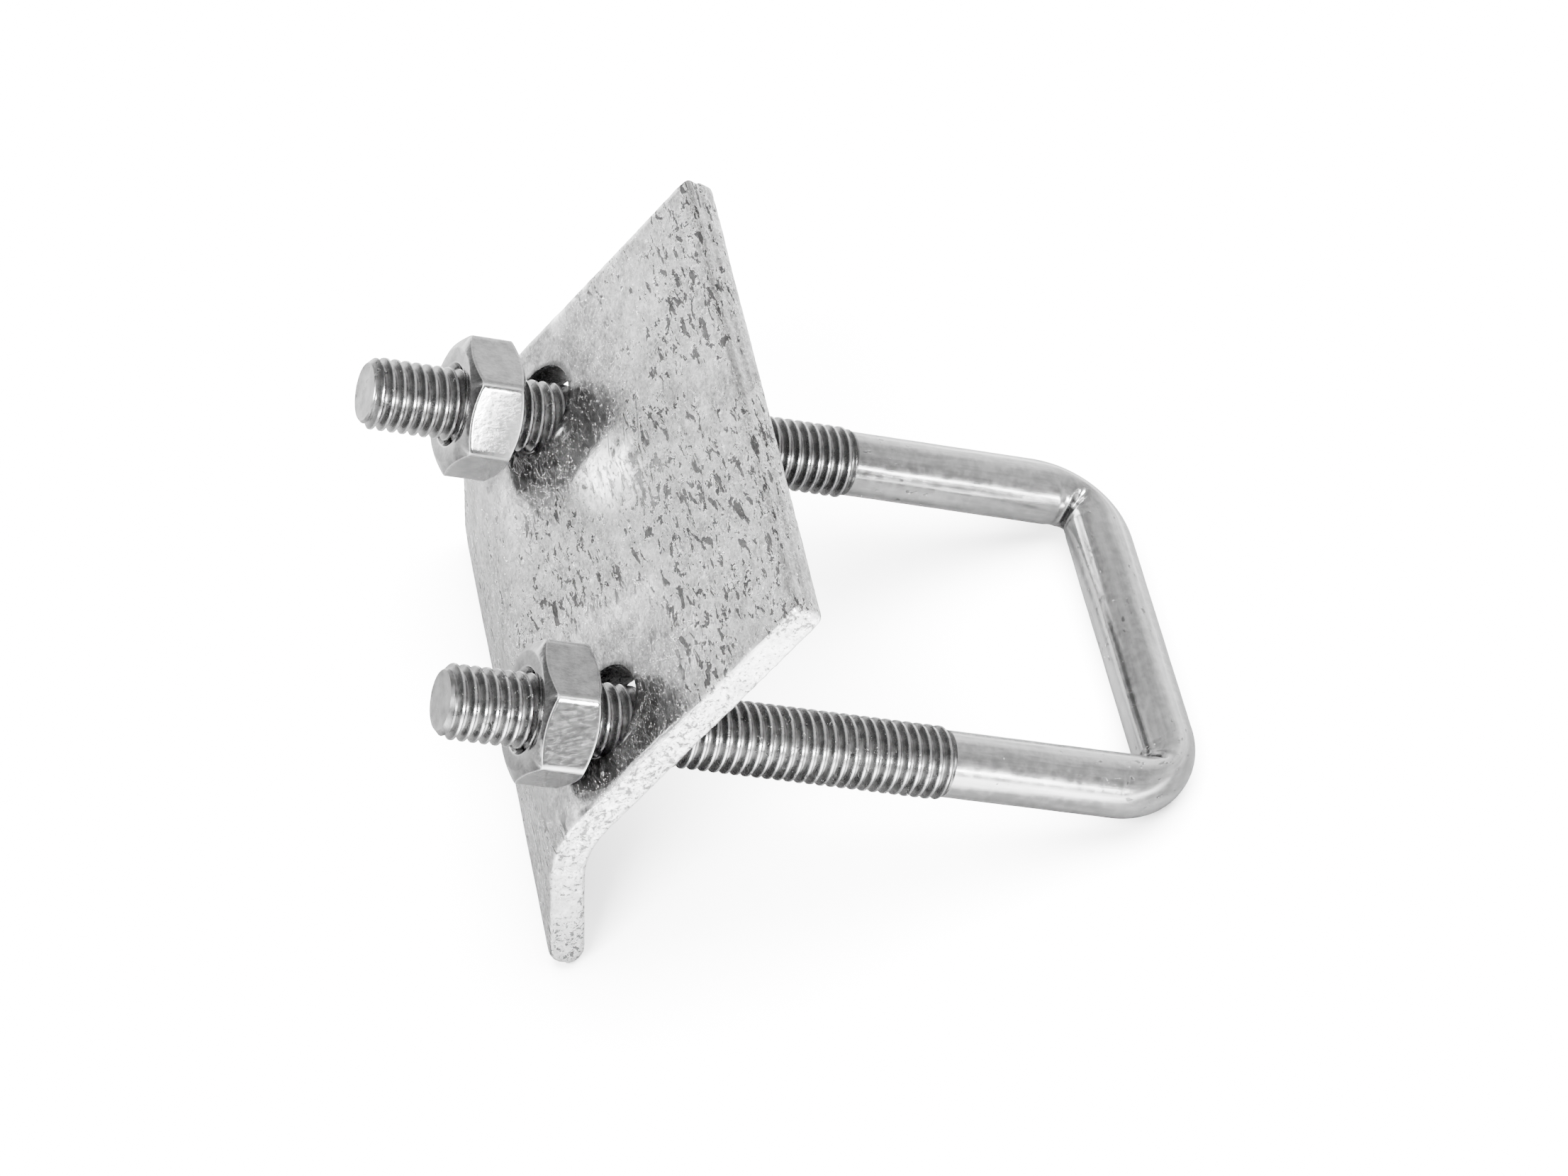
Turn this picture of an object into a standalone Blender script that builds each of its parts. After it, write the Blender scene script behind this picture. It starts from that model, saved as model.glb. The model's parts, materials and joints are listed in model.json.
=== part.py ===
"""U-bolt beam clamp for 41 mm strut channel.

A square U-bolt (M10) carries a bent clamp plate, held by two hexagon nuts. The clamp lies as it
does on a table: on its bow and on the lower edge of the plate, so its legs slope.

Everything is first made in the bolt frame, whose origin is the middle of the bow's axis: +X runs
along the legs from the nuts to the bow, +Y from the near leg to the far leg, and +Z is square to
both. One parent empty then tilts the clamp onto the floor and centres it over the origin.
"""

import math

import bmesh
import bpy
from mathutils import Vector

MM = 0.001

# U-bolt
LEG_SPACING = 55.0 * MM
SHANK_RADIUS = 4.45 * MM
THREAD_RADIUS = 4.9 * MM
THREAD_LENGTH = 70.0 * MM
NEAR_LEG_END = -104.5 * MM
FAR_LEG_END = -107.0 * MM
END_CHAMFER = 1.0 * MM
CORNER_OUTER_RADIUS = 14.5 * MM
CORNER_INNER_RADIUS = 1.5 * MM
CORNER_STEPS = 12
ROD_SIDES = 40

# Clamp plate: a long leg with the holes, and a short leg bent away from the nuts
PLATE_THICKNESS = 5.0 * MM
PLATE_WIDTH = 80.0 * MM
HOLE_TO_FREE_EDGE = 36.0 * MM
HOLE_TO_VERTEX = 14.0 * MM
VERTEX_TO_LOWER_EDGE = 24.0 * MM
BEND_ANGLE = math.radians(37.5)
BEND_INNER_RADIUS = 15.0 * MM
BEND_STEPS = 8
FREE_EDGE_RADIUS = 1.0 * MM
SIDE_EDGE_RADIUS = 0.8 * MM
PLATE_CORNER_RADIUS = 1.5 * MM
EDGE_STEPS = 4
HOLE_RADIUS = 6.75 * MM
PLATE_X = -80.1 * MM
PLATE_Y = 1.2 * MM
PLATE_LEAN = math.radians(17.5)

# Hexagon nuts
NUT_ACROSS_FLATS = 17.0 * MM
NUT_HEIGHT = 8.0 * MM
NUT_FACE_RADIUS = 7.8 * MM
NUT_CHAMFER_ANGLE = math.radians(30.0)
NUT_BORE_RADIUS = 5.2 * MM
NEAR_NUT_X = -89.5 * MM
FAR_NUT_X = -91.0 * MM
NEAR_NUT_TURN = math.radians(0.2)
FAR_NUT_TURN = math.radians(-2.7)

ZINC = (0.56, 0.57, 0.58, 1.0)
CUTTER_SIDES = 64


# --- helpers ------------------------------------------------------------------------------------


def clear_scene():
    for obj in list(bpy.data.objects):
        bpy.data.objects.remove(obj, do_unlink=True)


def make_material(name, roughness):
    material = bpy.data.materials.new(name)
    material.use_nodes = True
    shader = material.node_tree.nodes["Principled BSDF"]
    shader.inputs["Base Color"].default_value = ZINC
    shader.inputs["Roughness"].default_value = roughness
    shader.inputs["Metallic"].default_value = 1.0
    return material


def make_object(name, rings, frame):
    """A closed skin through rings of points, with a flat cap on the first and the last ring."""
    bm = bmesh.new()
    loops = [[bm.verts.new(point) for point in ring] for ring in rings]
    for loop, following in zip(loops, loops[1:]):
        for i in range(len(loop)):
            j = (i + 1) % len(loop)
            bm.faces.new((loop[i], loop[j], following[j], following[i]))
    bm.faces.new(loops[0])
    bm.faces.new(reversed(loops[-1]))
    bmesh.ops.recalc_face_normals(bm, faces=bm.faces)
    mesh = bpy.data.meshes.new(name)
    bm.to_mesh(mesh)
    bm.free()
    obj = bpy.data.objects.new(name, mesh)
    bpy.context.scene.collection.objects.link(obj)
    obj.parent = frame
    return obj


def finish(obj, material):
    obj.data.materials.append(material)
    obj.data.shade_smooth()
    obj.data.set_sharp_from_angle(angle=math.radians(30.0))


def cut(target, cutter, operation="DIFFERENCE"):
    """A live Boolean on target. The cutter stays in the scene as a hidden helper."""
    cutter.hide_render = True
    cutter.display_type = "WIRE"
    modifier = target.modifiers.new(cutter.name, "BOOLEAN")
    modifier.operation = operation
    modifier.solver = "EXACT"
    modifier.object = cutter


def turned(profile, sides, start=0.0):
    """Rings of a solid of revolution about X, from (x, radius) points."""
    angles = [start + 2 * math.pi * i / sides for i in range(sides)]
    return [[(x, r * math.cos(a), r * math.sin(a)) for a in angles] for x, r in profile]


# --- U-bolt -------------------------------------------------------------------------------------


def leg_sections(end_x, side):
    """Sections of one leg from its chamfered end to its shank, as (centre, outward radius)."""
    thread_end = end_x + THREAD_LENGTH
    stations = [
        (end_x, THREAD_RADIUS - END_CHAMFER),
        (end_x + END_CHAMFER, THREAD_RADIUS),
        (thread_end, THREAD_RADIUS),
        (thread_end + THREAD_RADIUS - SHANK_RADIUS, SHANK_RADIUS),
    ]
    return [(Vector((x, side * LEG_SPACING / 2)), Vector((0.0, side * r)), r) for x, r in stations]


def corner_sections(side):
    """Sections of one corner from leg to bow. Its outside is a wide arc and its inside a tight
    one, so the sections fan out from near the inner corner."""
    half_spacing = LEG_SPACING / 2
    outer_x = SHANK_RADIUS - CORNER_OUTER_RADIUS
    outer_y = half_spacing + outer_x
    inner_x = -SHANK_RADIUS - CORNER_INNER_RADIUS
    inner_y = half_spacing + inner_x
    sections = []
    for i in range(CORNER_STEPS + 1):
        angle = math.pi / 2 * (1 - i / CORNER_STEPS)
        direction = Vector((math.cos(angle), math.sin(angle)))
        outer = Vector((outer_x, outer_y)) + CORNER_OUTER_RADIUS * direction
        inner = Vector((inner_x, inner_y)) + CORNER_INNER_RADIUS * direction
        flip = Vector((1.0, side))
        sections.append(((outer + inner) / 2 * flip, (outer - inner) / 2 * flip, SHANK_RADIUS))
    return sections


def make_u_bolt(frame):
    """One tube through all sections: near leg, near corner, bow, far corner, far leg."""
    near = leg_sections(NEAR_LEG_END, -1) + corner_sections(-1)
    far = leg_sections(FAR_LEG_END, 1) + corner_sections(1)
    angles = [2 * math.pi * i / ROD_SIDES for i in range(ROD_SIDES)]
    rings = []
    for centre, outward, height in near + far[::-1]:
        flat = [centre + outward * math.cos(a) for a in angles]
        rings.append([(p.x, p.y, height * math.sin(a)) for p, a in zip(flat, angles)])
    return make_object("u_bolt", rings, frame)


# --- clamp plate --------------------------------------------------------------------------------


def plate_point(along, across):
    """(x, z) of a point on the plate's section. Along is the distance on the mid-line from the
    free edge, and across the height off the mid-line towards the nuts."""
    up = Vector((math.sin(PLATE_LEAN), math.cos(PLATE_LEAN)))
    out = Vector((-math.cos(PLATE_LEAN), math.sin(PLATE_LEAN)))
    mid_radius = BEND_INNER_RADIUS + PLATE_THICKNESS / 2
    bend_start = HOLE_TO_FREE_EDGE + HOLE_TO_VERTEX - mid_radius * math.tan(BEND_ANGLE / 2)
    hole = Vector((PLATE_X, 0.0))
    if along <= bend_start:
        return hole + (HOLE_TO_FREE_EDGE - along) * up + across * out
    turn = min((along - bend_start) / mid_radius, BEND_ANGLE)
    beyond = along - bend_start - turn * mid_radius
    centre = hole + (HOLE_TO_FREE_EDGE - bend_start) * up - mid_radius * out
    radial = out * math.cos(turn) - up * math.sin(turn)
    tangent = -out * math.sin(turn) - up * math.cos(turn)
    return centre + (mid_radius + across) * radial + beyond * tangent


def plate_section(inset, end_inset):
    """The plate's section as (x, z) points, thinned by inset on both faces and shortened by
    end_inset at both ends. Each section holds the same number of points."""
    half = PLATE_THICKNESS / 2 - inset
    mid_radius = BEND_INNER_RADIUS + PLATE_THICKNESS / 2
    setback = mid_radius * math.tan(BEND_ANGLE / 2)
    bend_start = HOLE_TO_FREE_EDGE + HOLE_TO_VERTEX - setback
    bend_length = mid_radius * BEND_ANGLE
    lower_edge = bend_start + bend_length - setback + VERTEX_TO_LOWER_EDGE - end_inset
    free_edge = end_inset + FREE_EDGE_RADIUS
    quarter = [math.pi / 2 * i / EDGE_STEPS for i in range(EDGE_STEPS + 1)]
    nut_side = [
        (free_edge - FREE_EDGE_RADIUS * math.cos(a), half - FREE_EDGE_RADIUS * (1 - math.sin(a)))
        for a in quarter
    ]
    nut_side += [(bend_start + bend_length * i / BEND_STEPS, half) for i in range(BEND_STEPS + 1)]
    nut_side += [(lower_edge - half * (1 - math.sin(a)), half * math.cos(a)) for a in quarter]
    bow_side = [(along, -across) for along, across in reversed(nut_side[:-1])]
    return [plate_point(along, across) for along, across in nut_side + bow_side]


def fall_back(distance, radius):
    """How far a rounded edge has fallen back at this distance from its side."""
    rest = radius - min(distance, radius)
    return radius - math.sqrt(radius**2 - rest**2)


def make_plate(frame):
    """The bent plate, skinned from one side edge to the other, with a hole for each leg."""
    turns = (math.pi / 2 * i / CORNER_STEPS for i in range(CORNER_STEPS + 1))
    distances = [PLATE_CORNER_RADIUS * (1 - math.cos(a)) for a in turns]
    near_side = [(d - PLATE_WIDTH / 2, d) for d in distances]
    far_side = [(-y, d) for y, d in reversed(near_side)]
    rings = []
    for y, distance in near_side + far_side:
        inset = fall_back(distance, SIDE_EDGE_RADIUS)
        end_inset = fall_back(distance, PLATE_CORNER_RADIUS)
        rings.append([(p.x, PLATE_Y + y, p.y) for p in plate_section(inset, end_inset)])
    plate = make_object("clamp_plate", rings, frame)
    for side in (-1, 1):
        drill = [(-PLATE_THICKNESS, HOLE_RADIUS), (PLATE_THICKNESS, HOLE_RADIUS)]
        cutter = make_object("cut_hole", turned(drill, CUTTER_SIDES), frame)
        cutter.location = (PLATE_X, PLATE_Y + side * LEG_SPACING / 2, 0.0)
        cutter.rotation_euler = (0.0, PLATE_LEAN, 0.0)
        cut(plate, cutter)
    return plate


# --- nuts ---------------------------------------------------------------------------------------


def make_nut(name, x, side, turn, frame):
    """A hexagon prism trimmed by a cone at both faces and bored clear of the thread. Its origin
    is on the axis that it turns about."""
    corner_radius = NUT_ACROSS_FLATS / math.sqrt(3)
    cone_radius = corner_radius + 1.0 * MM
    cone_depth = (cone_radius - NUT_FACE_RADIUS) * math.tan(NUT_CHAMFER_ANGLE)
    half = NUT_HEIGHT / 2
    prism = [(-NUT_HEIGHT, corner_radius), (NUT_HEIGHT, corner_radius)]
    cones = [
        (-half, NUT_FACE_RADIUS),
        (cone_depth - half, cone_radius),
        (half - cone_depth, cone_radius),
        (half, NUT_FACE_RADIUS),
    ]
    bore = [(-NUT_HEIGHT, NUT_BORE_RADIUS), (NUT_HEIGHT, NUT_BORE_RADIUS)]
    nut = make_object(name, turned(prism, 6, turn), frame)
    trim = make_object("cut_chamfer", turned(cones, CUTTER_SIDES), frame)
    drill = make_object("cut_bore", turned(bore, CUTTER_SIDES), frame)
    for obj in (nut, trim, drill):
        obj.location = (x, side * LEG_SPACING / 2, 0.0)
    cut(nut, trim, "INTERSECT")
    cut(nut, drill)
    return nut


# --- assembly -----------------------------------------------------------------------------------


def resting_tilt():
    """The tilt about Y at which the bow and the plate's lower edge both touch the floor."""
    setback = (BEND_INNER_RADIUS + PLATE_THICKNESS / 2) * math.tan(BEND_ANGLE / 2)
    long_leg = HOLE_TO_FREE_EDGE + HOLE_TO_VERTEX - setback
    bend = (BEND_INNER_RADIUS + PLATE_THICKNESS / 2) * BEND_ANGLE
    short_leg = VERTEX_TO_LOWER_EDGE - setback - PLATE_THICKNESS / 2
    edge_centre = plate_point(long_leg + bend + short_leg, 0.0)
    height_gap = SHANK_RADIUS - PLATE_THICKNESS / 2
    below = math.atan2(-edge_centre.y, -edge_centre.x)
    return below - math.asin(height_gap / edge_centre.length)


def seat_on_floor(frame, pieces):
    """Tilts the clamp into its resting pose, with the middle of its footprint over the origin."""
    frame.rotation_euler = (0.0, resting_tilt(), 0.0)
    bpy.context.view_layer.update()
    graph = bpy.context.evaluated_depsgraph_get()
    corners = []
    for piece in pieces:
        evaluated = piece.evaluated_get(graph)
        corners += [evaluated.matrix_world @ v.co for v in evaluated.data.vertices]
    low = Vector(min(c[i] for c in corners) for i in range(3))
    high = Vector(max(c[i] for c in corners) for i in range(3))
    frame.location = (-(low.x + high.x) / 2, -(low.y + high.y) / 2, -low.z)


def main():
    clear_scene()
    frame = bpy.data.objects.new("bolt_frame", None)
    bpy.context.scene.collection.objects.link(frame)
    plate = make_plate(frame)
    bolt = make_u_bolt(frame)
    near_nut = make_nut("near_nut", NEAR_NUT_X, -1, NEAR_NUT_TURN, frame)
    far_nut = make_nut("far_nut", FAR_NUT_X, 1, FAR_NUT_TURN, frame)
    finish(plate, make_material("zinc_plate", 0.48))
    finish(bolt, make_material("zinc_bolt", 0.36))
    finish(near_nut, make_material("zinc_near_nut", 0.4))
    finish(far_nut, make_material("zinc_far_nut", 0.4))
    seat_on_floor(frame, (plate, bolt, near_nut, far_nut))


main()
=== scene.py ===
"""The look of the U-bolt beam clamp: real threads, creased corners, a rough galvanised plate."""

import json
import math

import bmesh
import bpy
from mathutils import Matrix, Vector, geometry, noise


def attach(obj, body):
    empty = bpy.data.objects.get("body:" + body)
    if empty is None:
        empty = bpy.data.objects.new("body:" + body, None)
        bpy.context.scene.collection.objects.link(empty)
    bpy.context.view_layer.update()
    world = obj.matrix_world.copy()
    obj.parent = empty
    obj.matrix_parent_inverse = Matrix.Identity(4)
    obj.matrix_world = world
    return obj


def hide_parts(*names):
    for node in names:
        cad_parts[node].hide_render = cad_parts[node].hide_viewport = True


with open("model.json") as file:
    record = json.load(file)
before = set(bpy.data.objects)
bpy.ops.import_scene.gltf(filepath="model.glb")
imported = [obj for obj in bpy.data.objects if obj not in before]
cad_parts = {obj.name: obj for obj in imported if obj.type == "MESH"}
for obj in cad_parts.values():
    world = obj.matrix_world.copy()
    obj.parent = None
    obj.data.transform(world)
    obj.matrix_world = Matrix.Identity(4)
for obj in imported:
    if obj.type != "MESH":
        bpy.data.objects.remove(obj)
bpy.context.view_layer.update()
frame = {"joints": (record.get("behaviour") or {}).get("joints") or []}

MM = 0.001

# U-bolt, in the bolt frame: +X along the legs towards the bow, origin in the middle of the bow
LEG_SPACING = 55.0 * MM
SHANK_RADIUS = 4.45 * MM
THREAD_RADIUS = 4.88 * MM
THREAD_PITCH = 1.5 * MM
THREAD_DEPTH = 0.86 * MM
THREAD_LENGTH = 70.0 * MM
# Where a thread's flank ends and how wide it is, as shares of the half pitch from crest to root
FLANK_END = 0.84
FLANK_WIDTH = 0.68
RUN_OUT = 0.9 * MM
END_CHAMFER = 1.0 * MM
END_CHAMFER_SLOPE = 0.9
NEAR_LEG_END = -104.5 * MM
FAR_LEG_END = -107.0 * MM
NEAR_NUT_X = -89.5 * MM
CORNER_OUTER_RADIUS = 14.5 * MM
CORNER_INNER_RADIUS = 1.5 * MM
CREASE_ANGLE = math.radians(45.0)
# The fold in a corner's inner side: (share of its depth, half its angle along the corner)
CREASE_WIDTHS = ((0.6, math.radians(11.0)), (0.4, math.radians(44.0)))
CREASE_DEPTH = 0.36  # as a share of the rod's radius
SEAM_ANGLE = math.radians(152.0)
SEAM_WIDTH = 0.14
# Metres along the rod that keep the finish of one leg's thread from repeating on the other
THREAD_FINISH_SHIFT = 0.3

# Plate: developed flat, it runs from its free edge past the holes and the bend to its lower edge
PLATE_THICKNESS = 5.0 * MM
PLATE_WIDTH = 80.0 * MM
HOLE_TO_FREE_EDGE = 36.0 * MM
HOLE_TO_VERTEX = 14.0 * MM
VERTEX_TO_LOWER_EDGE = 24.0 * MM
BEND_ANGLE = math.radians(37.5)
BEND_MID_RADIUS = 17.5 * MM
BEND_SETBACK = BEND_MID_RADIUS * math.tan(BEND_ANGLE / 2)
BEND_START = HOLE_TO_FREE_EDGE + HOLE_TO_VERTEX - BEND_SETBACK
BEND_END = BEND_START + BEND_MID_RADIUS * BEND_ANGLE
PLATE_LENGTH = BEND_END + VERTEX_TO_LOWER_EDGE - BEND_SETBACK
# Zinc that has run into the holes leaves them narrower than drilled, and a little off centre
HOLE_RADIUS = 6.25 * MM
HOLE_OFFSET = -0.4 * MM
PLATE_X = -80.1 * MM
PLATE_Y = 1.2 * MM
PLATE_LEAN = math.radians(17.5)
PLATE_STEP = 0.55 * MM
ROW_SPACING = 0.866  # of staggered rows of points, as a share of the space between the points
# Corners of the flat plate: (end of its length, side, radius, angle at which its arc starts)
PLATE_CORNERS = (
    (0, -1, 1.2 * MM, 180.0),
    (1, -1, 2.6 * MM, 270.0),
    (1, 1, 4.5 * MM, 0.0),
    (0, 1, 1.3 * MM, 90.0),
)
HOLE_POINTS = 96

# Nuts
NUT_ACROSS_FLATS = 17.0 * MM
NUT_HEIGHT = 8.0 * MM
NUT_FACE_RADIUS = 7.8 * MM
NUT_CHAMFER_SLOPE = math.tan(math.radians(30.0))
NUT_EASING = 0.13 * MM
NUT_TURNS = {"near_nut": math.radians(0.2), "far_nut": math.radians(-2.7)}

# Points round the rod, rows to one pitch of thread, and sections of the rod's bare stretches
ROUND = 66
PER_PITCH = 12
LEG_SECTIONS = 12
CORNER_SECTIONS = 48
BOW_SECTIONS = 16
# Rings of a leg's end face: share of its radius, and how far in from the end in millimetres
END_FACE = ((1.0, 0.0), (0.95, 0.0), (0.86, 0.08), (0.5, 0.1), (0.2, 0.1))


# --- frame --------------------------------------------------------------------------------------


def bolt_frame():
    """The matrix from the bolt frame to the row frame, from the near nut's joint."""
    joint = next(j for j in frame["joints"] if j["name"] == "near_nut_turn")
    axis = Vector(joint["axis"])
    turn = Matrix.Rotation(math.atan2(-axis.z, axis.x), 4, "Y")
    near_nut = turn @ Vector((NEAR_NUT_X, -LEG_SPACING / 2, 0.0))
    return Matrix.Translation(Vector(joint["pos_m"]) - near_nut) @ turn


BOLT = bolt_frame()


def nut_centre(name):
    joint = next(j for j in frame["joints"] if j["name"] == name + "_turn")
    return BOLT.inverted() @ Vector(joint["pos_m"])


# --- meshes -------------------------------------------------------------------------------------


def smooth(value):
    """value clamped to 0..1 and eased at both ends."""
    value = max(0.0, min(1.0, value))
    return value * value * (3.0 - 2.0 * value)


def make_piece(name, points, faces, material, attributes, sharp=50.0):
    """An object in the row frame from points in the bolt frame. attributes maps a name to one
    value for each point, a number or a vector, which the material reads."""
    mesh = bpy.data.meshes.new(name)
    mesh.from_pydata([BOLT @ Vector(p) for p in points], [], faces)
    for label, values in attributes.items():
        if isinstance(values[0], Vector):
            layer = mesh.attributes.new(label, "FLOAT_VECTOR", "POINT")
            layer.data.foreach_set("vector", [c for value in values for c in value])
        else:
            layer = mesh.attributes.new(label, "FLOAT", "POINT")
            layer.data.foreach_set("value", values)
    bm = bmesh.new()
    bm.from_mesh(mesh)
    bmesh.ops.remove_doubles(bm, verts=bm.verts, dist=1e-6)
    bmesh.ops.dissolve_degenerate(bm, edges=bm.edges, dist=1e-7)
    bmesh.ops.recalc_face_normals(bm, faces=bm.faces)
    bm.to_mesh(mesh)
    bm.free()
    mesh.materials.append(material)
    mesh.shade_smooth()
    mesh.set_sharp_from_angle(angle=math.radians(sharp))
    obj = bpy.data.objects.new(name, mesh)
    bpy.context.scene.collection.objects.link(obj)
    return obj


def quads(start, rows, columns, wrap_shift=0):
    """Faces between rows of vertices that run round a closed loop. Where a row closes on itself,
    wrap_shift joins it to the row that many rows further on, which makes a helix."""
    faces = []
    for row in range(rows - 1):
        for column in range(columns):
            if column + 1 < columns:
                right, shift = column + 1, 0
            else:
                right, shift = 0, wrap_shift
            low, high = row + shift, row + 1 + shift
            if low < 0 or high >= rows:
                continue
            faces.append(
                (
                    start + row * columns + column,
                    start + low * columns + right,
                    start + high * columns + right,
                    start + (row + 1) * columns + column,
                )
            )
    return faces


# --- U-bolt -------------------------------------------------------------------------------------


def thread_radius(x, turn):
    """Radius of a right-hand thread at this place along the leg and angle about it."""
    phase = (x / THREAD_PITCH - turn / (2 * math.pi)) % 1.0
    off_crest = 2 * min(phase, 1.0 - phase)
    flank = max(0.0, min(1.0, (FLANK_END - off_crest) / FLANK_WIDTH))
    height = 0.6 * flank + 0.4 * smooth(flank)
    return THREAD_RADIUS - THREAD_DEPTH * (1.0 - height)


def leg_thread(end_x, side):
    """Points and faces of the threaded length of one leg, from its chamfered end."""
    thread_end = end_x + THREAD_LENGTH
    first = math.floor(end_x / THREAD_PITCH) - 2
    last = math.ceil(thread_end / THREAD_PITCH) + 2
    rows = (last - first) * PER_PITCH + 1
    points = []
    for row in range(rows):
        for column in range(ROUND):
            around = 2 * math.pi * column / ROUND
            turn = around if side > 0 else math.pi - around
            x = (first + row / PER_PITCH + turn / (2 * math.pi)) * THREAD_PITCH
            x = max(end_x, min(thread_end, x))
            radius = thread_radius(x, turn)
            run_out = smooth((x - thread_end + RUN_OUT) / RUN_OUT)
            radius += (SHANK_RADIUS - radius) * run_out
            chamfer = THREAD_RADIUS - END_CHAMFER + END_CHAMFER_SLOPE * (x - end_x)
            radius = min(radius, chamfer)
            points.append(
                (x, side * LEG_SPACING / 2 + radius * math.cos(turn), radius * math.sin(turn))
            )
    faces = quads(0, rows, ROUND, wrap_shift=PER_PITCH if side > 0 else -PER_PITCH)
    start = len(points)
    for share, hollow in END_FACE:
        for column in range(ROUND):
            around = 2 * math.pi * column / ROUND
            turn = around if side > 0 else math.pi - around
            radius = (THREAD_RADIUS - END_CHAMFER) * share
            y, z = radius * math.cos(turn), radius * math.sin(turn)
            uneven = 0.05 * MM * (1 + noise.noise(Vector((y, z, side * MM)) / MM * 0.5))
            x = end_x + hollow * MM + (uneven if share < 1.0 else 0.0)
            points.append((x, side * LEG_SPACING / 2 + y, z))
    faces += quads(start, len(END_FACE), ROUND)
    faces.append(tuple(start + (len(END_FACE) - 1) * ROUND + i for i in range(ROUND)))
    return points, faces


def corner_sections(side):
    """Sections of one corner from leg to bow, as (centre, outward half-width, crease). The rod is
    bent so tightly that its inner side folds into a crease."""
    outer_x = SHANK_RADIUS - CORNER_OUTER_RADIUS
    outer_y = LEG_SPACING / 2 + outer_x
    inner_x = -SHANK_RADIUS - CORNER_INNER_RADIUS
    inner_y = LEG_SPACING / 2 + inner_x
    sections = []
    flip = Vector((1.0, side))
    for i in range(CORNER_SECTIONS + 1):
        angle = math.pi / 2 * (1 - i / CORNER_SECTIONS)
        direction = Vector((math.cos(angle), math.sin(angle)))
        outer = Vector((outer_x, outer_y)) + CORNER_OUTER_RADIUS * direction
        inner = Vector((inner_x, inner_y)) + CORNER_INNER_RADIUS * direction
        off_crease = abs(angle - CREASE_ANGLE)
        crease = sum(share * smooth(1 - off_crease / width) for share, width in CREASE_WIDTHS)
        sections.append(((outer + inner) / 2 * flip, (outer - inner) / 2 * flip, crease))
    return sections


def bar_sections():
    """Sections of the bare rod from the near thread to the far one, round both corners."""
    y = LEG_SPACING / 2
    corner = corner_sections(-1)
    legs = []
    for end, side in ((NEAR_LEG_END, -1), (FAR_LEG_END, 1)):
        start = Vector((end + THREAD_LENGTH, side * y))
        finish = Vector((corner[0][0].x, side * y))
        outward = Vector((0.0, side * SHANK_RADIUS))
        shares = [i / LEG_SECTIONS for i in range(LEG_SECTIONS)]
        legs.append([(start.lerp(finish, share), outward, 0.0) for share in shares])
    bow_start = Vector((0.0, corner[-1][0].y))
    bow_end = Vector((0.0, -corner[-1][0].y))
    bow = []
    for i in range(1, BOW_SECTIONS):
        place = bow_start.lerp(bow_end, i / BOW_SECTIONS)
        bow.append((place, Vector((SHANK_RADIUS, 0.0)), 0.0))
    return legs[0] + corner + bow + corner_sections(1)[::-1] + legs[1][::-1]


def make_u_bolt(material):
    """Both threaded legs, and the bare rod between them with a rolling seam on its inner side."""
    points, faces = leg_thread(NEAR_LEG_END, -1)
    far_points, far_faces = leg_thread(FAR_LEG_END, 1)
    offset = len(points)
    points += far_points
    faces += [tuple(offset + i for i in face) for face in far_faces]
    grooves = []
    developed = []
    for x, y, z in points:
        radius = math.hypot(abs(y) - LEG_SPACING / 2, z)
        grooves.append(max(0.0, min(1.0, (THREAD_RADIUS - radius) / THREAD_DEPTH)))
        shifted = x - math.copysign(THREAD_FINISH_SHIFT, y)
        developed.append(Vector((shifted, y, z)) / MM)
    sections = bar_sections()
    offset = len(points)
    run = 0.0
    previous = sections[0][0]
    for centre, outward, crease in sections:
        run += (centre - previous).length
        previous = centre
        for column in range(ROUND):
            around = 2 * math.pi * column / ROUND
            inward = smooth((0.15 - math.cos(around)) / 0.8)
            fold = crease * inward
            radial = Vector((0.0, math.cos(around), math.sin(around)))
            place = Vector((run, 0.0, 0.0)) + radial * SHANK_RADIUS
            wander = 0.05 * noise.noise(Vector((run / MM * 0.08, 0.0, 0.0)))
            off_seam = abs(around - SEAM_ANGLE - wander)
            fades = smooth(0.8 + 1.2 * noise.noise(place / MM * 0.07))
            seam = smooth(1 - off_seam / SEAM_WIDTH) * fades
            sunk = 0.03 * (1 + noise.noise(place / MM * 0.3)) + 0.12 * seam
            scale = 1 - sunk * MM / SHANK_RADIUS - CREASE_DEPTH * fold
            flat = centre + outward * math.cos(around) * scale
            points.append((flat.x, flat.y, SHANK_RADIUS * math.sin(around) * scale))
            # The groove attribute: a fifth on the seam and up to a half in a corner's fold, which
            # the material paints as a dark line on the seam and painted shade in the fold
            grooves.append(max(0.2 * seam, 0.5 * smooth((fold - 0.5) / 0.4)))
            developed.append(place / MM)
    faces += quads(offset, len(sections), ROUND)
    attributes = {"groove": grooves, "developed": developed}
    return make_piece("u_bolt_detail", points, faces, material, attributes)


# --- plate --------------------------------------------------------------------------------------


def bend(along, across):
    """(x, z) of a place on the plate: along its mid-line from the free edge, across it towards
    the nuts."""
    up = Vector((math.sin(PLATE_LEAN), math.cos(PLATE_LEAN)))
    out = Vector((-math.cos(PLATE_LEAN), math.sin(PLATE_LEAN)))
    hole = Vector((PLATE_X, 0.0))
    if along <= BEND_START:
        return hole + (HOLE_TO_FREE_EDGE - along) * up + across * out
    turn = min((along - BEND_START) / BEND_MID_RADIUS, BEND_ANGLE)
    beyond = along - BEND_START - turn * BEND_MID_RADIUS
    centre = hole + (HOLE_TO_FREE_EDGE - BEND_START) * up - BEND_MID_RADIUS * out
    radial = out * math.cos(turn) - up * math.sin(turn)
    tangent = -out * math.sin(turn) - up * math.cos(turn)
    return centre + (BEND_MID_RADIUS + across) * radial + beyond * tangent


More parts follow.
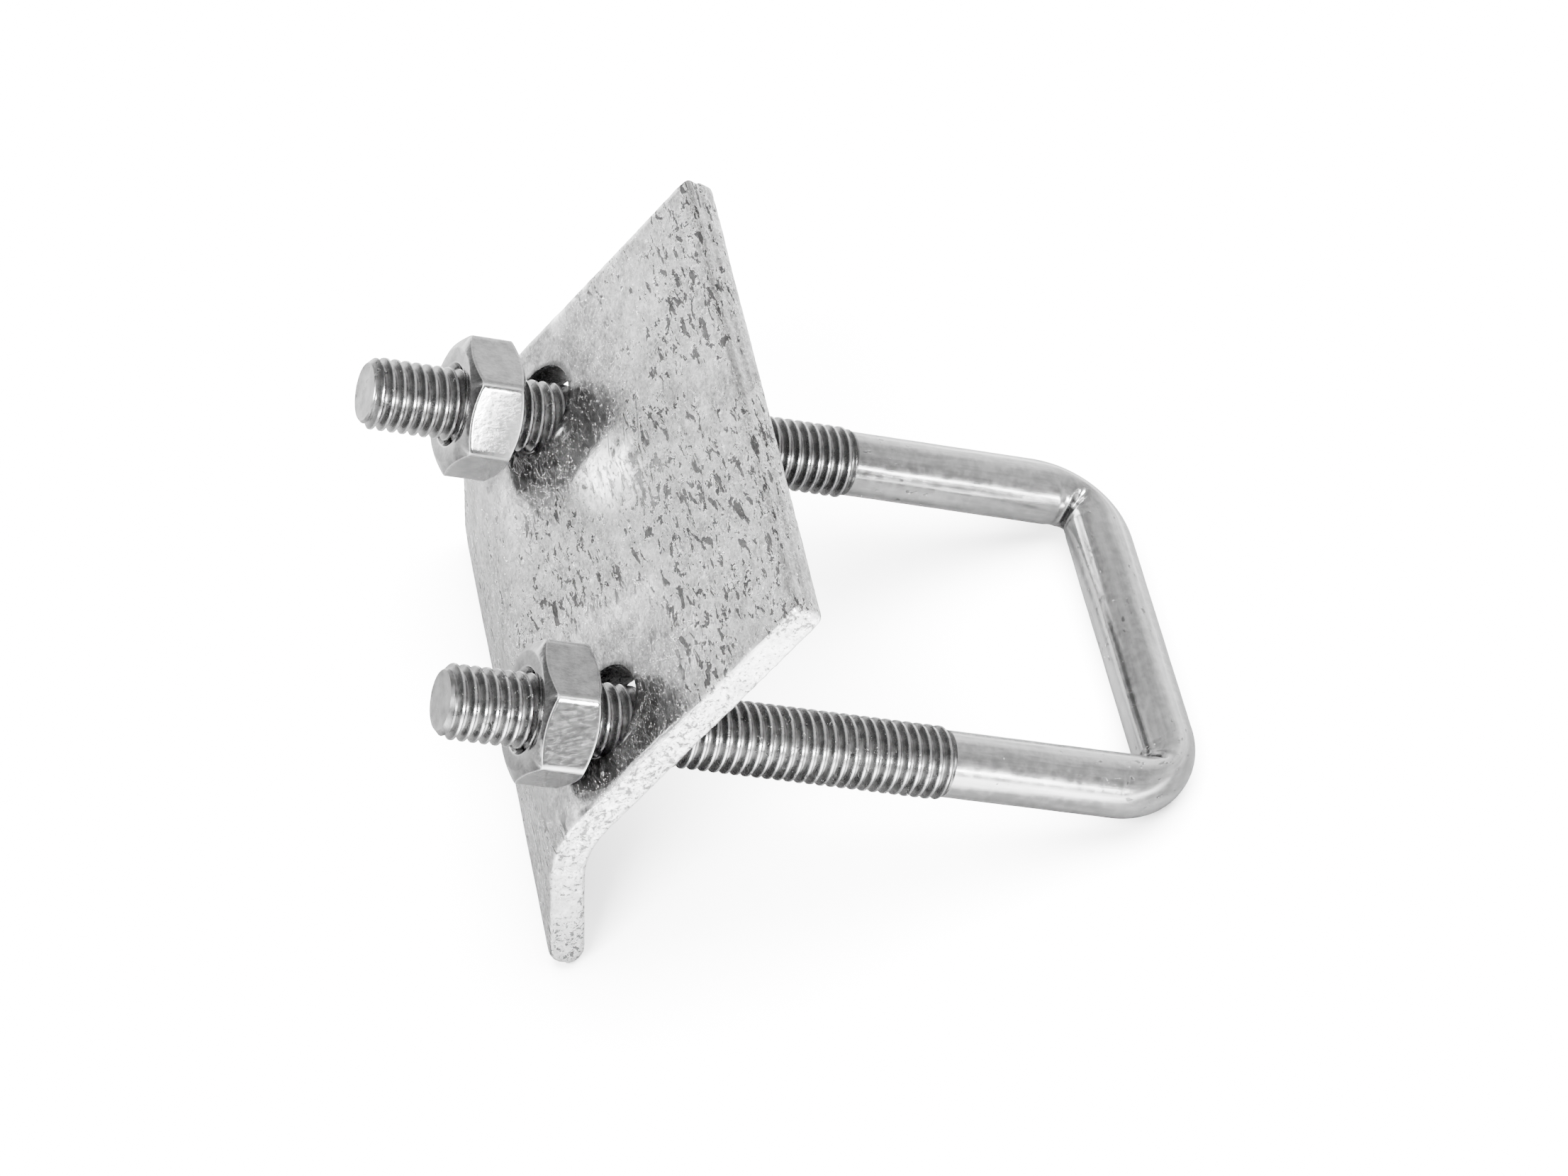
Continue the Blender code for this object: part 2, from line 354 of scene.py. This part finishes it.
def from_hole(along, y):
    """The vector to this place on the flat plate from the centre of the hole on its side."""
    return Vector((along - HOLE_TO_FREE_EDGE, y - HOLE_OFFSET - math.copysign(LEG_SPACING / 2, y)))


def near_lower_edge(along):
    """0 over most of the plate, rising to 1 at its lower edge, which is rounded the most."""
    return smooth((along - PLATE_LENGTH + 5.0 * MM) / (4.0 * MM))


def plate_outline():
    """The flat outline of the plate as (point, inward normal, edge radius), where a point is
    (distance from the free edge, distance from the middle)."""
    loop = []
    for end, side, radius, start in PLATE_CORNERS:
        corner = Vector((end * PLATE_LENGTH, side * PLATE_WIDTH / 2))
        centre = corner + radius * Vector((1 - 2 * end, -side))
        for i in range(7):
            angle = math.radians(start + 90.0 * i / 6)
            direction = Vector((math.cos(angle), math.sin(angle)))
            loop.append((centre + radius * direction, -direction))
    outline = []
    for (point, inward), (following, next_inward) in zip(loop, loop[1:] + loop[:1]):
        parts = max(1, round((following - point).length / PLATE_STEP))
        for i in range(parts):
            place = point.lerp(following, i / parts)
            free = smooth((3.0 * MM - place.x) / (2.0 * MM))
            edge = (0.8 + 1.6 * near_lower_edge(place.x) + 0.3 * free) * MM
            outline.append((place, inward.lerp(next_inward, i / parts).normalized(), edge))
    return outline


def face_points():
    """Interior points of the plate's flat faces, in staggered rows clear of its rim, its most
    rounded corner and its holes."""
    half = PLATE_WIDTH / 2
    inset = 4.6 * MM
    points = []
    rows = int(PLATE_LENGTH / (PLATE_STEP * ROW_SPACING))
    columns = int(PLATE_WIDTH / PLATE_STEP)
    for row in range(rows + 1):
        for column in range(columns + 1):
            along = row * PLATE_STEP * ROW_SPACING
            y = -half + (column + 0.5 * (row % 2)) * PLATE_STEP
            rim = (1.35 + 1.6 * near_lower_edge(along)) * MM
            if along < 1.6 * MM or along > PLATE_LENGTH - 2.9 * MM or abs(y) > half - rim:
                continue
            past = Vector((along - PLATE_LENGTH + inset, y - half + inset))
            if past.x > 0.0 and past.y > 0.0 and past.length > 1.8 * MM:
                continue
            if from_hole(along, y).length > HOLE_RADIUS + 0.8 * MM:
                points.append(Vector((along, y)))
    return points


def triangulate(outer, holes, inner):
    """Triangles over the flat face, between its outline and its holes."""
    points = list(outer)
    edges = [(i, (i + 1) % len(outer)) for i in range(len(outer))]
    for loop in holes:
        start = len(points)
        points += loop
        edges += [(start + i, start + (i + 1) % len(loop)) for i in range(len(loop))]
    points += inner
    made = geometry.delaunay_2d_cdt([p / MM for p in points], edges, [], 1, 1e-6)
    if len(made[0]) != len(points):
        raise ValueError("the plate's face points collide")
    triangles = []
    for face in made[2]:
        middle = sum((made[0][i] for i in face), Vector((0.0, 0.0))) / 3 * MM
        if from_hole(middle.x, middle.y).length > HOLE_RADIUS + 0.12 * MM:
            triangles.append(tuple(made[3][i][0] for i in face))
    return triangles


def plate_relief(along, y, across):
    """How far the surface lies below its nominal place: broad waves, lumps of zinc, a swell
    round each hole on the outer face, and a torn rim where the plate was sheared."""
    place = Vector((along, y, across)) / MM
    depth = 0.06 * (1 + noise.noise(place * 0.07)) + 0.03 * (1 + noise.noise(place * 0.22))
    depth += 0.008 * (1 + noise.noise(place * 0.7))
    if across > 0:
        depth += 0.2 * smooth((from_hole(along, y).length / MM - 5.0) / 14.0)
    from_side = (PLATE_WIDTH / 2 - abs(y)) / MM
    torn = smooth((1.7 - from_side) / 1.7)
    depth += torn * 0.1 * (1 + noise.noise(place * 0.8))
    depth += torn * 0.04 * (1 + noise.noise(place * 2.3))
    free = smooth((1.5 - along / MM) / 1.5)
    depth += free * 0.06 * (1 + noise.noise(place * 0.9))
    return depth * MM


def plate_marks(along, y, across, up):
    """(dark, polished, sheared) of a place on the plate's skin, each from 0 to 1: dark is painted
    shade on the hole walls, a painted dark reflection of the nut round each hole on the nuts' side
    and a broken dark line along the torn rim; smooth round the holes, bare on the cut sides."""
    place = Vector((along, y, across)) / MM
    gap = (from_hole(along, y).length - HOLE_RADIUS) / MM
    # Painted shade on the hole's wall and lip
    dark = smooth((0.7 - gap) / 0.5)
    from_side = (PLATE_WIDTH / 2 - abs(y)) / MM
    # A broken dark line along the torn rim
    line = 1 - abs(from_side - 1.0 - 0.25 * noise.noise(place * 0.6)) / 0.4
    dark = max(dark, smooth(line) * smooth(0.75 + 1.6 * noise.noise(place * 0.35)))
    ragged = 1.5 * noise.noise(place * 0.25) + 0.8 * noise.noise(place * 0.9)
    polished = 0.0
    if up > 0.5:
        polished = smooth((15.0 - gap + 1.5 * ragged) / 8.0)
        # A painted dark reflection of the nut round the hole on the nuts' side
        dark = max(dark, 0.5 * smooth((8.0 - gap + 1.5 * ragged) / 4.5))
    sheared = smooth((1.1 - from_side) / 0.5)
    return dark, polished, sheared


def make_plate(material):
    """The bent plate, made flat as a rounded rim, two hole walls and two triangulated faces, then
    lowered by its relief and bent."""
    outline = plate_outline()
    half = PLATE_THICKNESS / 2
    count = len(outline)
    # Points as (place on the flat plate, height across it, outward direction, how far the
    # surface there faces up or down)
    placed = []
    # Rows of the rim: a side of the plate and a turn about its rounded edge, or a share of the
    # straight side between the two edges
    rim_rows = []
    quarter = [math.pi / 2 * i / 4 for i in range(5)]
    for sign in (1, -1):
        for turn in quarter[::-1] if sign > 0 else quarter:
            rim_rows.append((sign, turn))
        if sign > 0:
            rim_rows += [(share, None) for share in (0.75, 0.5, 0.25, 0.0, -0.25, -0.5, -0.75)]
    for kind, turn in rim_rows:
        for point, inward, edge in outline:
            if turn is None:
                placed.append((point, kind * (half - edge), -inward, 0.0))
                continue
            place = point + inward * edge * (1 - math.cos(turn))
            across = kind * (half - edge + edge * math.sin(turn))
            placed.append((place, across, -inward * math.cos(turn), kind * math.sin(turn)))
    faces = quads(0, len(rim_rows), count)
    # Rows of a hole's wall: radius, height across the plate, how far the surface faces up or down
    hole_rows = [
        (HOLE_RADIUS + 0.25 * MM, half, 1.0),
        (HOLE_RADIUS + 0.08 * MM, half - 0.06 * MM, 1.0),
        (HOLE_RADIUS, half - 0.25 * MM, 0.0),
        (HOLE_RADIUS - 0.25 * MM, half * 0.5, 0.0),
        (HOLE_RADIUS - 0.25 * MM, -half * 0.5, 0.0),
        (HOLE_RADIUS, -half + 0.3 * MM, 0.0),
        (HOLE_RADIUS + 0.15 * MM, -half, -1.0),
    ]
    hole_starts = []
    for side in (-1, 1):
        hole_starts.append(len(placed))
        for radius, across, up in hole_rows:
            for i in range(HOLE_POINTS):
                angle = 2 * math.pi * i / HOLE_POINTS
                flat = Vector((math.cos(angle), math.sin(angle))) * radius
                centre = Vector((HOLE_TO_FREE_EDGE, side * LEG_SPACING / 2 + HOLE_OFFSET))
                placed.append((centre + flat, across, Vector((0.0, 0.0)), up))
        faces += quads(hole_starts[-1], len(hole_rows), HOLE_POINTS)
    inner = face_points()
    last_rows = ((len(rim_rows) - 1) * count, len(hole_rows) - 1)
    for sign, rim_start, hole_row in ((1, 0, 0), (-1, *last_rows)):
        rim = list(range(rim_start, rim_start + count))
        rings = [
            list(range(start + hole_row * HOLE_POINTS, start + (hole_row + 1) * HOLE_POINTS))
            for start in hole_starts
        ]
        flat = [placed[i][0] for i in rim]
        loops = [[placed[i][0] for i in ring] for ring in rings]
        triangles = triangulate(flat, loops, inner)
        start = len(placed)
        placed += [(point, sign * half, Vector((0.0, 0.0)), sign) for point in inner]
        index = rim + rings[0] + rings[1] + list(range(start, start + len(inner)))
        faces += [tuple(index[i] for i in face) for face in triangles]
    points = []
    developed = []
    marks = []
    for flat, across, outward, up in placed:
        depth = plate_relief(flat.x, flat.y, across)
        sunk = flat - outward * depth
        x, z = bend(sunk.x, across - up * depth)
        points.append((x, PLATE_Y + sunk.y, z))
        developed.append(Vector((flat.x, flat.y, across)) / MM)
        marks.append(plate_marks(flat.x, flat.y, across, up))
    dark, polished, sheared = zip(*marks)
    attributes = {"developed": developed, "dark": dark, "polished": polished, "sheared": sheared}
    return make_piece("clamp_plate_detail", points, faces, material, attributes)


# --- nuts ---------------------------------------------------------------------------------------


def hexagon_radius(turn):
    """Distance from the axis to the hexagon's flats in this direction, with its corners eased."""
    off_corner = abs((turn + math.pi / 6) % (math.pi / 3) - math.pi / 6)
    sharp = NUT_ACROSS_FLATS / 2 / math.cos(math.pi / 6 - off_corner)
    return sharp - NUT_EASING * smooth(1 - off_corner / math.radians(2.6))


def nut_face(turn):
    """(radius, distance in from the face) of the rows from the thread's mouth to the flats."""
    flat = hexagon_radius(turn)
    depth = (flat - NUT_FACE_RADIUS) * NUT_CHAMFER_SLOPE
    return [
        (5.0 * MM, 1.1 * MM),
        (5.45 * MM, 0.45 * MM),
        (5.65 * MM, 0.12 * MM),
        (5.9 * MM, 0.02 * MM),
        (NUT_FACE_RADIUS - 0.2 * MM, 0.02 * MM),
        (NUT_FACE_RADIUS, 0.1 * MM),
        (flat - 0.18 * MM, depth - 0.02 * MM),
        (flat - 0.04 * MM, depth + 0.08 * MM),
        (flat, depth + 0.2 * MM),
        (flat, depth + 0.5 * MM),
    ]


def make_nut(name, material):
    """A chamfered hexagon nut with eased edges, clear of the thread inside it. Its edges and
    corners are painted pale as painted highlights, its face and chamfer darker, and the thread's
    mouth dark as painted shade, each row of its face by its own amount."""
    centre = nut_centre(name)
    half = NUT_HEIGHT / 2
    # Degrees from a corner of the hexagon: its eased edge, then the flat up to the next one
    near_corner = (-2.6, -1.3, 0.0, 1.3, 2.6)
    along_flat = (5.0, 9.0, 14.0, 19.0, 24.5, 30.0, 35.5, 41.0, 46.0, 51.0, 55.0)
    turns = [math.radians(60.0 * i + step) for i in range(6) for step in near_corner + along_flat]
    outer = [[(turn, radius, half - depth) for radius, depth in nut_face(turn)] for turn in turns]
    rows = [[column[i] for column in outer] for i in range(len(outer[0]))]
    # Per row from the thread's mouth to the flats: painted shade in the mouth, a painted highlight
    # on its lip, a darker face and chamfer, a painted highlight on the edge to the flats
    row_highlights_and_shade = [-1.0, -0.8, 0.3, -0.8, -0.8, -0.4, -0.8, 0.8, 0.4, 0.0]
    rows += [[(turn, radius, -x) for turn, radius, x in row] for row in reversed(rows)]
    row_highlights_and_shade += row_highlights_and_shade[::-1]
    points = []
    edges = []
    for row, highlight_and_shade in zip(rows, row_highlights_and_shade):
        for turn, radius, x in row:
            angle = turn + NUT_TURNS[name]
            y, z = radius * math.cos(angle), radius * math.sin(angle)
            points.append((centre.x + x, centre.y + y, z))
            # A painted highlight on the hexagon's corners
            off_corner = abs((turn + math.pi / 6) % (math.pi / 3) - math.pi / 6)
            corner = smooth(1 - off_corner / math.radians(3.5)) if radius > NUT_FACE_RADIUS else 0.0
            edges.append(highlight_and_shade + (0.9 - highlight_and_shade) * corner)
    count = len(turns)
    faces = quads(0, len(rows), count)
    last = (len(rows) - 1) * count
    faces += [(last + i, last + (i + 1) % count, (i + 1) % count, i) for i in range(count)]
    return make_piece(name + "_detail", points, faces, material, {"edge": edges}, sharp=28.0)


# --- materials ----------------------------------------------------------------------------------

# Most of a noise texture's values lie between these two
NOISE_LOW = 0.3
NOISE_HIGH = 0.7


class Shading:
    """A material's node tree, with short ways to add the nodes that the zinc finishes share."""

    def __init__(self, name, metallic):
        self.material = bpy.data.materials.new(name)
        self.material.use_nodes = True
        self.tree = self.material.node_tree
        self.shader = self.tree.nodes["Principled BSDF"]
        self.shader.inputs["Metallic"].default_value = metallic

    def add(self, kind, **inputs):
        """A node of this kind. Each input is a value or the socket of another node."""
        node = self.tree.nodes.new(kind)
        for label, value in inputs.items():
            socket = node.inputs[label.replace("_", " ")]
            if isinstance(value, bpy.types.NodeSocket):
                self.tree.links.new(value, socket)
            else:
                socket.default_value = value
        return node

    def attribute(self, name):
        node = self.tree.nodes.new("ShaderNodeAttribute")
        node.attribute_name = name
        return node

    def place(self, source, stretch=(1.0, 1.0, 1.0), turn=0.0):
        """Coordinates in millimetres, turned by degrees about Z, then stretched: the object's
        own, or the place on the plate or the rod before it was bent."""
        if source == "developed":
            socket, scale = self.attribute("developed").outputs["Vector"], 1.0
        else:
            coordinates = self.tree.nodes.new("ShaderNodeTexCoord")
            socket, scale = coordinates.outputs["Object"], 1000.0
        rotation = (0.0, 0.0, math.radians(turn))
        turned = self.add("ShaderNodeMapping", Vector=socket, Rotation=rotation).outputs["Vector"]
        scales = [scale * share for share in stretch]
        return self.add("ShaderNodeMapping", Vector=turned, Scale=scales).outputs["Vector"]

    def noise(self, place, per_mm, detail=3.0, roughness=0.5):
        node = self.add(
            "ShaderNodeTexNoise", Vector=place, Scale=per_mm, Detail=detail, Roughness=roughness
        )
        return node.outputs["Fac"]

    def warped(self, place, per_mm, amount):
        """place pushed about by noise, so that marks laid over it wriggle."""
        push = self.add("ShaderNodeTexNoise", Vector=place, Scale=per_mm, Detail=2.0)
        node = self.tree.nodes.new("ShaderNodeVectorMath")
        node.operation = "MULTIPLY_ADD"
        self.tree.links.new(push.outputs["Color"], node.inputs[0])
        node.inputs[1].default_value = (amount, amount, 0.0)
        self.tree.links.new(place, node.inputs[2])
        return node.outputs["Vector"]

    def ramp(self, value, low, high, start=0.0, end=1.0):
        """value mapped smoothly from low..high to start..end."""
        node = self.add(
            "ShaderNodeMapRange", Value=value, From_Min=low, From_Max=high, To_Min=start, To_Max=end
        )
        node.interpolation_type = "SMOOTHSTEP"
        return node.outputs["Result"]

    def vary(self, value, start, end):
        """A noise mapped to start..end."""
        return self.ramp(value, NOISE_LOW, NOISE_HIGH, start, end)

    def math(self, operation, first, second):
        node = self.tree.nodes.new("ShaderNodeMath")
        node.operation = operation
        for socket, value in zip(node.inputs, (first, second)):
            if isinstance(value, bpy.types.NodeSocket):
                self.tree.links.new(value, socket)
            else:
                socket.default_value = value
        return node.outputs["Value"]

    def finish(self, grey, roughness, height, depth):
        """Links a grey level, a roughness and a height in units of depth to the shader."""
        tone = self.add("ShaderNodeCombineColor", Red=grey, Green=grey, Blue=grey)
        relief = self.add("ShaderNodeBump", Height=height, Distance=depth, Strength=1.0)
        self.tree.links.new(tone.outputs["Color"], self.shader.inputs["Base Color"])
        self.tree.links.new(roughness, self.shader.inputs["Roughness"])
        self.tree.links.new(relief.outputs["Normal"], self.shader.inputs["Normal"])
        return self.material


def plate_zinc():
    """Hot-dip zinc on rolled plate: mottled, with pits and scratches along the rolling, smooth
    round the holes, where painted shade and a painted dark reflection of the nut darken it, pale
    and dull on the sheared sides."""
    look = Shading("plate_zinc", 0.98)
    flat = look.place("developed")
    dark = look.attribute("dark").outputs["Fac"]
    polished = look.attribute("polished").outputs["Fac"]
    sheared = look.attribute("sheared").outputs["Fac"]
    clouds = look.noise(flat, 0.12, 3.0, 0.6)
    mottle = look.noise(look.place("developed", (1.0, 0.6, 1.0)), 0.5, 5.0, 0.65)
    crackle = look.noise(look.place("developed", (1.0, 0.6, 1.0), 8.0), 2.6, 3.0, 0.7)
    grain = look.noise(flat, 3.0, 3.0)

    # Large and small pits, more of them in some bands than in others, each with a raised rim
    bands = look.noise(look.place("developed", (1.0, 0.5, 1.0)), 0.085, 2.0)
    wriggling = look.warped(look.place("developed", (1.0, 0.34, 1.0), 8.0), 0.5, 2.4)
    large = look.noise(wriggling, 1.1, 5.0, 0.7)
    large = look.math("SUBTRACT", large, look.ramp(bands, 0.34, 0.58, 0.63, 0.53))
    wriggling = look.warped(look.place("developed", (1.0, 0.45, 1.0), 4.0), 0.9, 1.2)
    small = look.noise(wriggling, 2.3, 4.0, 0.65)
    small = look.math("SUBTRACT", small, look.ramp(bands, 0.3, 0.65, 0.64, 0.59))
    pits = look.math("MAXIMUM", large, small)
    fewer = look.ramp(polished, 0.5, 1.0, 1.0, 0.35)
    pit = look.math("MULTIPLY", look.ramp(pits, 0.0, 0.025), fewer)
    rim = look.math("MULTIPLY", look.ramp(pits, -0.04, -0.005), fewer)
    rim = look.math("SUBTRACT", rim, pit)
    scratches = look.noise(look.place("developed", (1.0, 0.03, 1.0), -9.0), 1.6, 2.0)
    scratch = look.math("MULTIPLY", look.ramp(scratches, 0.7, 0.73), 0.8)
    pit = look.math("MAXIMUM", pit, scratch)

    grey = look.math("ADD", look.vary(clouds, 0.29, 0.46), look.vary(mottle, -0.1, 0.1))
    grey = look.math("ADD", grey, look.vary(crackle, -0.14, 0.14))
    grey = look.math("ADD", grey, look.math("MULTIPLY", rim, 0.5))
    grey = look.math("ADD", grey, look.math("MULTIPLY", sheared, 0.3))
    grey = look.math("MULTIPLY", grey, look.ramp(pit, 0.0, 1.0, 1.0, 0.2))
    # Darkened by the dark attribute: painted shade on the hole walls, a painted dark reflection of
    # the nut round the holes and a dark line along the torn rim
    grey = look.math("MULTIPLY", grey, look.ramp(dark, 0.0, 1.0, 1.0, 0.15))
    rough = look.math("ADD", look.vary(mottle, 0.42, 0.26), look.math("MULTIPLY", pit, 0.15))
    rough = look.math("MULTIPLY", rough, look.ramp(polished, 0.0, 1.0, 1.0, 0.34))
    metal = look.ramp(sheared, 0.0, 1.0, 0.98, 0.74)
    look.tree.links.new(metal, look.shader.inputs["Metallic"])

    height = look.math("MULTIPLY", mottle, 0.7)
    height = look.math("ADD", height, look.math("MULTIPLY", grain, 0.12))
    height = look.math("ADD", height, look.math("MULTIPLY", rim, 0.35))
    height = look.math("SUBTRACT", height, look.math("MULTIPLY", pit, 1.4))
    height = look.math("MULTIPLY", height, look.ramp(polished, 0.0, 1.0, 1.0, 0.4))
    return look.finish(grey, rough, height, 0.1 * MM)


def bolt_zinc():
    """Thin zinc on drawn rod: long streaks and a few pits; on the thread a painted highlight on the
    crests and painted shade on the duller flanks, and painted shade in the corners' folds.
    """
    look = Shading("bolt_zinc", 0.98)
    rod = look.place("developed")
    deep = look.attribute("groove").outputs["Fac"]
    streaks = look.noise(look.place("developed", (0.08, 1.0, 1.0)), 0.55, 3.0, 0.55)
    specks = look.noise(rod, 0.8, 4.0, 0.55)
    pits = look.noise(look.place("developed", (0.6, 1.0, 1.0)), 0.9, 4.0, 0.65)
    bands = look.noise(rod, 0.05, 1.0)
    pits = look.math("SUBTRACT", pits, look.ramp(bands, 0.4, 0.6, 0.72, 0.6))
    pit = look.ramp(pits, 0.0, 0.03)

    grey = look.math("ADD", look.vary(streaks, 0.28, 0.47), look.vary(specks, -0.04, 0.04))
    # Painted highlight on the thread's crests; painted shade on its flanks and roots and in the
    # corners' folds, and a dark line along the seam
    grey = look.math("MULTIPLY", grey, look.ramp(deep, 0.0, 0.16, 1.3, 0.34))
    # Painted lighter again in the thread's roots, so that they don't render as black lines
    grey = look.math("MULTIPLY", grey, look.ramp(deep, 0.4, 1.0, 1.0, 1.8))
    grey = look.math("MULTIPLY", grey, look.ramp(pit, 0.0, 1.0, 1.0, 0.45))
    rough = look.math("ADD", look.vary(specks, 0.17, 0.27), look.math("MULTIPLY", deep, 0.1))
    height = look.math("ADD", streaks, look.math("MULTIPLY", specks, 0.4))
    height = look.math("SUBTRACT", height, look.math("MULTIPLY", pit, 1.5))
    return look.finish(grey, rough, height, 0.03 * MM)


def nut_zinc():
    """Zinc on a forged nut: fine scratches, faint blotches, rougher edges, and the edge attribute's
    painted highlights and painted shade.
    """
    look = Shading("nut_zinc", 0.99)
    edge = look.attribute("edge").outputs["Fac"]
    blotches = look.noise(look.place("object"), 0.45, 4.0, 0.6)
    fine = look.noise(look.place("object", (0.25, 1.0, 1.0)), 3.5, 3.0, 0.6)
    grey = look.math("ADD", look.vary(blotches, 0.29, 0.43), look.vary(fine, -0.04, 0.04))
    # Painted highlights on the edges and corners, a darker face and chamfer, painted shade in the
    # thread's mouth
    grey = look.math("ADD", grey, look.math("MULTIPLY", edge, 0.22))
    rough = look.math("ADD", look.vary(fine, 0.1, 0.17), look.ramp(edge, 0.3, 0.9, 0.0, 0.3))
    height = look.math("ADD", blotches, look.math("MULTIPLY", fine, 0.08))
    return look.finish(grey, rough, height, 0.03 * MM)


# --- stage --------------------------------------------------------------------------------------

FLOOR_SIZE = 8.0
FLOOR_WHITE = 0.94
# The floor's tone in reflections, painted light and shade: painted shade close under the clamp and
# a painted pool of light in a strip on the near side. (y in metres, grey), from the back to the
# front
FLOOR_SPAN = 1.2
FLOOR_TONES = (
    (0.6, 0.3),
    (0.15, 0.24),
    (0.05, 0.1),
    (-0.05, 0.06),
    (-0.072, 0.6),
    (-0.3, 0.35),
    (-0.6, 0.12),
)

# Lamps: (name, place, size in metres, watts, whether the metal mirrors it)
LAMP_AIM = (0.0, 0.0, 0.02)
LAMPS = (
    ("overhead", (0.1, 0.25, 1.3), (1.6, 1.6), 400.0, False),
    ("softbox", (-0.55, -0.76, 0.97), (0.5, 0.5), 130.0, True),
    ("window_left", (-1.40, 1.36, 0.155), (0.4, 0.15), 0.7, True),
    ("window_front", (0.88, -1.72, 0.6), (0.42, 0.28), 46.0, True),
)

CAMERA_SENSOR_MM = 36.0
CAMERA_LENS_MM = 125.6
CAMERA_PLACE = (-0.08372, -0.48521, 0.55908)
CAMERA_TURN = (42.62, 0.584, -10.464)  # degrees


def area_light(name, place, size, watts, mirrored):
    data = bpy.data.lights.new(name, "AREA")
    data.shape = "RECTANGLE"
    data.size, data.size_y = size
    data.energy = watts
    light = bpy.data.objects.new(name, data)
    light.location = place
    light.rotation_euler = (Vector(place) - Vector(LAMP_AIM)).to_track_quat("Z", "Y").to_euler()
    light.visible_glossy = mirrored
    light.visible_camera = False
    bpy.context.scene.collection.objects.link(light)


def white_floor():
    """A white floor that is lit far brighter than the metal should show it, so that reflections see
    a darker one, painted with shade close under the clamp and a pool of light in a strip on the
    near side."""
    bpy.ops.mesh.primitive_plane_add(size=FLOOR_SIZE)
    floor = bpy.context.object
    floor.name = "floor"
    look = Shading("floor_white", 0.0)
    look.shader.inputs["Roughness"].default_value = 0.9
    look.shader.inputs["Specular IOR Level"].default_value = 0.0
    place = look.add("ShaderNodeTexCoord").outputs["Object"]
    along = look.add("ShaderNodeSeparateXYZ", Vector=place).outputs["Y"]
    share = look.math("ADD", look.math("MULTIPLY", along, -1.0 / FLOOR_SPAN), 0.5)
    strip = look.add("ShaderNodeValToRGB", Fac=share)
    ramp = strip.color_ramp
    while len(ramp.elements) < len(FLOOR_TONES):
        ramp.elements.new(0.5)
    for element, (y, _) in zip(ramp.elements, FLOOR_TONES):
        element.position = 0.5 - y / FLOOR_SPAN
    for element, (_, grey) in zip(ramp.elements, FLOOR_TONES):
        element.color = (grey, grey, grey, 1.0)
    tone = look.add("ShaderNodeMix")
    tone.data_type = "RGBA"
    tone.inputs["B"].default_value = (FLOOR_WHITE, FLOOR_WHITE, FLOOR_WHITE, 1.0)
    seen = look.add("ShaderNodeLightPath").outputs["Is Camera Ray"]
    look.tree.links.new(strip.outputs["Color"], tone.inputs["A"])
    look.tree.links.new(seen, tone.inputs["Factor"])
    look.tree.links.new(tone.outputs["Result"], look.shader.inputs["Base Color"])
    floor.data.materials.append(look.material)


def toward(tree, direction, **limits):
    """A strength that changes with how far the world is looked at in this direction."""
    place = tree.nodes.new("ShaderNodeTexCoord")
    facing = tree.nodes.new("ShaderNodeVectorMath")
    facing.operation = "DOT_PRODUCT"
    facing.inputs[1].default_value = direction
    strength = tree.nodes.new("ShaderNodeMapRange")
    for label, value in limits.items():
        strength.inputs[label.replace("_", " ")].default_value = value
    tree.links.new(place.outputs["Generated"], facing.inputs[0])
    tree.links.new(facing.outputs["Value"], strength.inputs["Value"])
    return strength.outputs["Result"]


def studio_world():
    """A room that is brightest near the horizon behind the clamp, dimmer overhead and on the
    camera's side."""
    world = bpy.data.worlds.new("studio")
    bpy.context.scene.world = world
    world.use_nodes = True
    tree = world.node_tree
    background = tree.nodes["Background"]
    background.inputs["Color"].default_value = (1.0, 1.0, 1.0, 1.0)
    behind = toward(tree, (0.75, 0.66, 0.0), From_Min=-0.1, From_Max=0.8, To_Min=0.4, To_Max=1.9)
    above = toward(tree, (0.0, 0.0, 1.0), From_Min=0.33, From_Max=0.52, To_Min=1.05, To_Max=0.42)
    strength = tree.nodes.new("ShaderNodeMath")
    strength.operation = "MULTIPLY"
    tree.links.new(behind, strength.inputs[0])
    tree.links.new(above, strength.inputs[1])
    tree.links.new(strength.outputs["Value"], background.inputs["Strength"])


def make_stage():
    white_floor()
    studio_world()
    for name, place, size, watts, mirrored in LAMPS:
        area_light(name, place, size, watts, mirrored)


def make_camera():
    """A long lens from the near side of the nuts, looking down at 47 degrees."""
    data = bpy.data.cameras.new("camera")
    data.sensor_width = CAMERA_SENSOR_MM
    data.lens = CAMERA_LENS_MM
    camera = bpy.data.objects.new("camera", data)
    camera.location = CAMERA_PLACE
    camera.rotation_euler = [math.radians(degrees) for degrees in CAMERA_TURN]
    bpy.context.scene.collection.objects.link(camera)
    bpy.context.scene.camera = camera


def main():
    nut_finish = nut_zinc()
    pieces = [
        (make_u_bolt(bolt_zinc()), "bolt", "u_bolt", "bolt_zinc"),
        (make_plate(plate_zinc()), "plate", "clamp_plate", "plate_zinc"),
        (make_nut("near_nut", nut_finish), "near_nut_body", "near_nut", "nut_zinc"),
        (make_nut("far_nut", nut_finish), "far_nut_body", "far_nut", "nut_zinc"),
    ]
    for piece, body, node, slot in pieces:
        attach(piece, body)
        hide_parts(node)
    make_stage()
    make_camera()


main()
